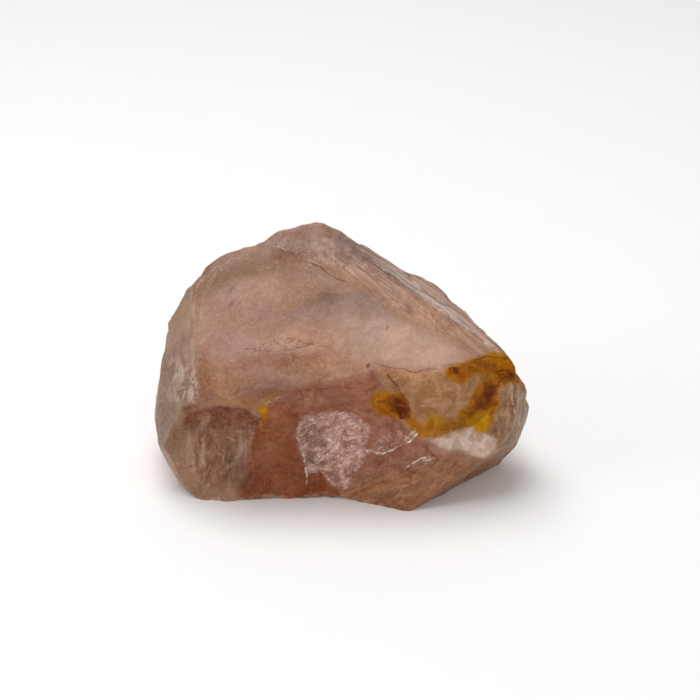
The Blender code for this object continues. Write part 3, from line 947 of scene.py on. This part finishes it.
def fine_lines(n, p, colour):
    """Pale threads with painted glints, cracks, painted glints of the broken skin and pits."""
    # Pale veins, painted glints and a painted highlight along the ridge top
    colour = n.mix(n.times(n.math("POWER", p.pale, 1.6), 1.4, clamp=True), colour, (240, 224, 216))
    colour = n.mix(n.times(p.crack, 0.85), colour, (70, 32, 12))
    # Painted glints: near-white specks on the rough scar, the lens chips and the apex
    glassy = n.add(n.mask("rough"), n.mask("lens"), n.times(n.mask("apex"), 0.25))
    glitter = n.times(p.sparkle, glassy, clamp=True)
    colour = n.mix(n.times(glitter, 0.85), colour, (252, 240, 236))
    return n.stain(colour, "pit", 0.9, (50, 28, 20))


def tone(n, p):
    """Lightness about one: grain, striations, and clouds that are partly tone and partly painted highlights
    and painted shade.
    """
    return n.add(
        1.0, n.swing(p.fine, 0.5), n.swing(p.speck, 0.45), n.swing(p.mottle, 0.5),
        n.swing(p.stria, 1.1, "roof"), n.swing(p.strips, 1.1, "combed"), n.swing(p.hatch, 0.7, "front"),
        n.swing(p.mottle, 0.6, "front"), n.swing(p.upright, 0.6, "bay"), n.swing(p.upright, 1.0, "end"),
        # Lighter and darker clouds: the stone's tone, with painted highlights and painted shade
        n.swing(p.fan, 1.2, "low_right"), n.times(n.mask("light"), 0.42), n.times(n.mask("dark"), -0.36))


def fine_height(n, p):
    """Height of the grain too fine for the mesh."""
    return n.add(
        n.times(p.fine, 0.7), n.times(p.speck, 0.35), n.swing(p.stria, 0.6, "combed"),
        n.swing(p.stria, 1.2, "roof"), n.swing(p.hatch, 0.6, "front"), n.swing(p.upright, 0.4, "bay"),
        n.swing(p.fan, 1.0, "low_right"), n.swing(p.upright, 0.9, "end"), n.times(p.pale, 0.4),
        n.times(p.frost, n.mask("rough"), 0.5), n.times(p.facets, n.mask("chalk"), 0.5),
        n.times(p.crack, -0.8), n.times(p.wisps, 0.12))


def surface(n, p):
    """Roughness, bump, glow and a thin glassy coat that stains and chalk dull."""
    gloss = n.add(
        n.ramp(p.fine, 0.3, 0.7, 0.28, 0.46), n.times(n.mask("chalk"), 0.2), n.times(n.mask("torn"), 0.2))
    polished = n.add(n.mask("rough"), n.mask("lens"), p.pale)
    gloss = n.math("SUBTRACT", gloss, n.times(polished, 0.12), True)
    glassy = n.add(
        COAT, n.times(p.far, 0.12), n.times(n.mask("rough"), 0.25), n.times(n.mask("lens"), 0.35),
        n.times(n.mask("apex"), 0.1))
    dull = n.add(n.mask("orange"), n.mask("rust"), n.mask("yellow"), n.mask("chalk"), n.mask("torn"))
    coat = n.math("SUBTRACT", glassy, n.times(dull, 0.16), True)
    bump = n.tree.nodes.new("ShaderNodeBump")
    bump.inputs["Strength"].default_value = BUMP_STRENGTH
    bump.inputs["Distance"].default_value = BUMP_HEIGHT
    n.link(fine_height(n, p), bump.inputs["Height"])
    n.link(gloss, n.shader.inputs["Roughness"])
    n.link(coat, n.shader.inputs["Coat Weight"])
    n.link(bump.outputs["Normal"], n.shader.inputs["Normal"])
    n.link(bump.outputs["Normal"], n.shader.inputs["Coat Normal"])
    n.shader.inputs["Coat Roughness"].default_value = COAT_ROUGHNESS
    n.shader.inputs["IOR"].default_value = QUARTZ_IOR
    n.shader.inputs["Specular IOR Level"].default_value = SPECULAR
    n.shader.inputs["Subsurface Weight"].default_value = GLOW
    n.shader.inputs["Subsurface Radius"].default_value = GLOW_COLOURS
    n.shader.inputs["Subsurface Scale"].default_value = GLOW_DEPTH
    n.shader.inputs["Transmission Weight"].default_value = TRANSMISSION


def quartz():
    """Dusky rose quartz with iron stains."""
    n = Nodes("rose_quartz")
    p = patterns(n)
    colour = body_colour(n, p)
    for layer in (far_sides, broken_skin, wisps_and_ridges, iron_stains, fine_lines):
        colour = layer(n, p, colour)
    colour = n.vector("SCALE", colour, scale=tone(n, p))
    depth = n.tree.nodes.new("ShaderNodeHueSaturation")
    depth.inputs["Saturation"].default_value = SATURATION
    n.link(colour, depth.inputs["Color"])
    n.link(depth.outputs["Color"], n.shader.inputs["Base Color"])
    surface(n, p)
    return n.material


def plain(name, colour, roughness):
    """Matt material with a very faint drift of its tone."""
    n = Nodes(name)
    darker = tuple(c * 0.995 for c in colour[:3]) + (1.0,)
    shade = n.blend(n.noise(30.0, 3.0), 0.3, 0.7, colour, darker)
    n.link(shade, n.shader.inputs["Base Color"])
    n.shader.inputs["Roughness"].default_value = roughness
    return n.material


def floor():
    """Pale floor that curves up behind the stone."""
    profile = [(FLOOR_FRONT, 0.0), (FLOOR_BEND, 0.0)]
    for step in range(1, FLOOR_STEPS + 1):
        a = math.radians(90.0 * step / FLOOR_STEPS)
        profile.append((FLOOR_BEND + FLOOR_RADIUS * math.sin(a), FLOOR_RADIUS * (1 - math.cos(a))))
    profile.append((FLOOR_BEND + FLOOR_RADIUS, WALL_TOP))
    bm = bmesh.new()
    rows = [[bm.verts.new((x, y, z)) for x in (-FLOOR_SIDE, FLOOR_SIDE)] for y, z in profile]
    for a, b in zip(rows, rows[1:]):
        bm.faces.new((a[0], a[1], b[1], b[0]))
    mesh = bpy.data.meshes.new("floor")
    bm.to_mesh(mesh)
    bm.free()
    for face in mesh.polygons:
        face.use_smooth = True
    obj = bpy.data.objects.new("floor", mesh)
    bpy.context.scene.collection.objects.link(obj)
    mesh.materials.append(plain("pale_floor", (0.98, 0.98, 0.98, 1.0), 0.8))


def softbox(name, place, size, power):
    """Square light aimed at the stone."""
    light = bpy.data.lights.new(name, "AREA")
    light.shape = "SQUARE"
    light.size = size
    light.energy = power
    obj = bpy.data.objects.new(name, light)
    obj.location = place
    obj.rotation_mode = "QUATERNION"
    obj.rotation_quaternion = (Vector(LIGHT_AIM) - Vector(place)).to_track_quat("-Z", "Y")
    bpy.context.scene.collection.objects.link(obj)


def camera():
    """Camera where the photo was taken from."""
    data = bpy.data.cameras.new("camera")
    data.lens = LENS
    data.sensor_width = SENSOR
    data.clip_start = 0.01
    data.clip_end = 20.0
    obj = bpy.data.objects.new("camera", data)
    obj.location = Vector(EYE)
    obj.rotation_mode = "QUATERNION"
    obj.rotation_quaternion = Vector(-BACK).to_track_quat("-Z", "Y")
    bpy.context.scene.collection.objects.link(obj)
    bpy.context.scene.camera = obj


skin = skin_mesh(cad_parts[NODE])
paint(skin)
skin.data.materials.clear()
skin.data.materials.append(quartz())
for face in skin.data.polygons:
    face.use_smooth = True
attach(skin, "root")
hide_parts(NODE)

floor()
camera()
for light in LIGHTS:
    softbox(*light)
world = bpy.data.worlds.new("world")
world.use_nodes = True
background = world.node_tree.nodes["Background"]
background.inputs["Color"].default_value = (1.0, 1.0, 1.0, 1.0)
background.inputs["Strength"].default_value = WORLD_LIGHT
bpy.context.scene.world = world
bpy.context.scene.view_settings.view_transform = "Standard"
